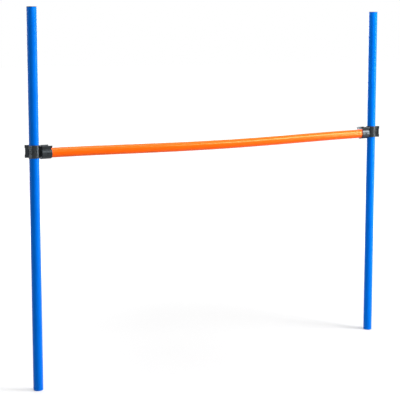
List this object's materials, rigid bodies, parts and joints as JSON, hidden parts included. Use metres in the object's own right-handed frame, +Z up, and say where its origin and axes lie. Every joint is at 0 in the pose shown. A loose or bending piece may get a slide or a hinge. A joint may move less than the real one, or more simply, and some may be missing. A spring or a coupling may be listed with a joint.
{
  "type": "dog agility hurdle",
  "caption": "Free-standing dog training hurdle: upright tubes joined by a slightly sagging crossbar, held at any height by plastic double snap clips.",
  "frame": {"origin": "on the floor, midway between the two posts", "axes": "+X along the crossbar from the left post to the right one, +Y across the hurdle in the direction of the jump, +Z up along the posts"},
  "size_m": [1.3218, 0.036, 1.15],
  "materials": {
    "post_plastic": "glossy blue extruded tube",
    "foot_plastic": "satin blue moulding",
    "bar_plastic": "glossy orange extruded tube",
    "plug_plastic": "satin black moulding",
    "clip_plastic": "satin black moulding"
  },
  "bodies": {
    "left_post": {"left_post_tube": "post_plastic", "left_post_top_plug": "plug_plastic", "left_post_foot_cap": "foot_plastic"},
    "left_clip": {"left_clip": "clip_plastic"},
    "crossbar": {"crossbar_tube": "bar_plastic", "crossbar_left_plug": "plug_plastic", "crossbar_right_plug": "plug_plastic"},
    "right_clip": {"right_clip": "clip_plastic"},
    "right_post": {"right_post_tube": "post_plastic", "right_post_top_plug": "plug_plastic", "right_post_foot_cap": "foot_plastic"}
  },
  "joints": [
    {"name": "left_clip_height", "type": "slide", "parent": "left_post", "child": "left_clip", "axis": [0, 0, 1], "range_m": [-0.695, 0.403]},
    {"name": "crossbar_turn", "type": "hinge", "parent": "left_clip", "child": "crossbar", "pos_m": [-0.6, 0, 0.7195], "axis": [1, 0, 0], "continuous": true},
    {"name": "right_post_swing", "type": "hinge", "parent": "left_clip", "child": "right_clip", "pos_m": [0.6, 0, 0.7195], "axis": [1, 0, 0], "continuous": true},
    {"name": "right_clip_height", "type": "slide", "parent": "right_clip", "child": "right_post", "axis": [0, 0, -1], "range_m": [-0.695, 0.403]}
  ],
  "couplings": [
    {"joint": "right_clip_height", "follows": "left_clip_height", "ratio": 1}
  ]
}
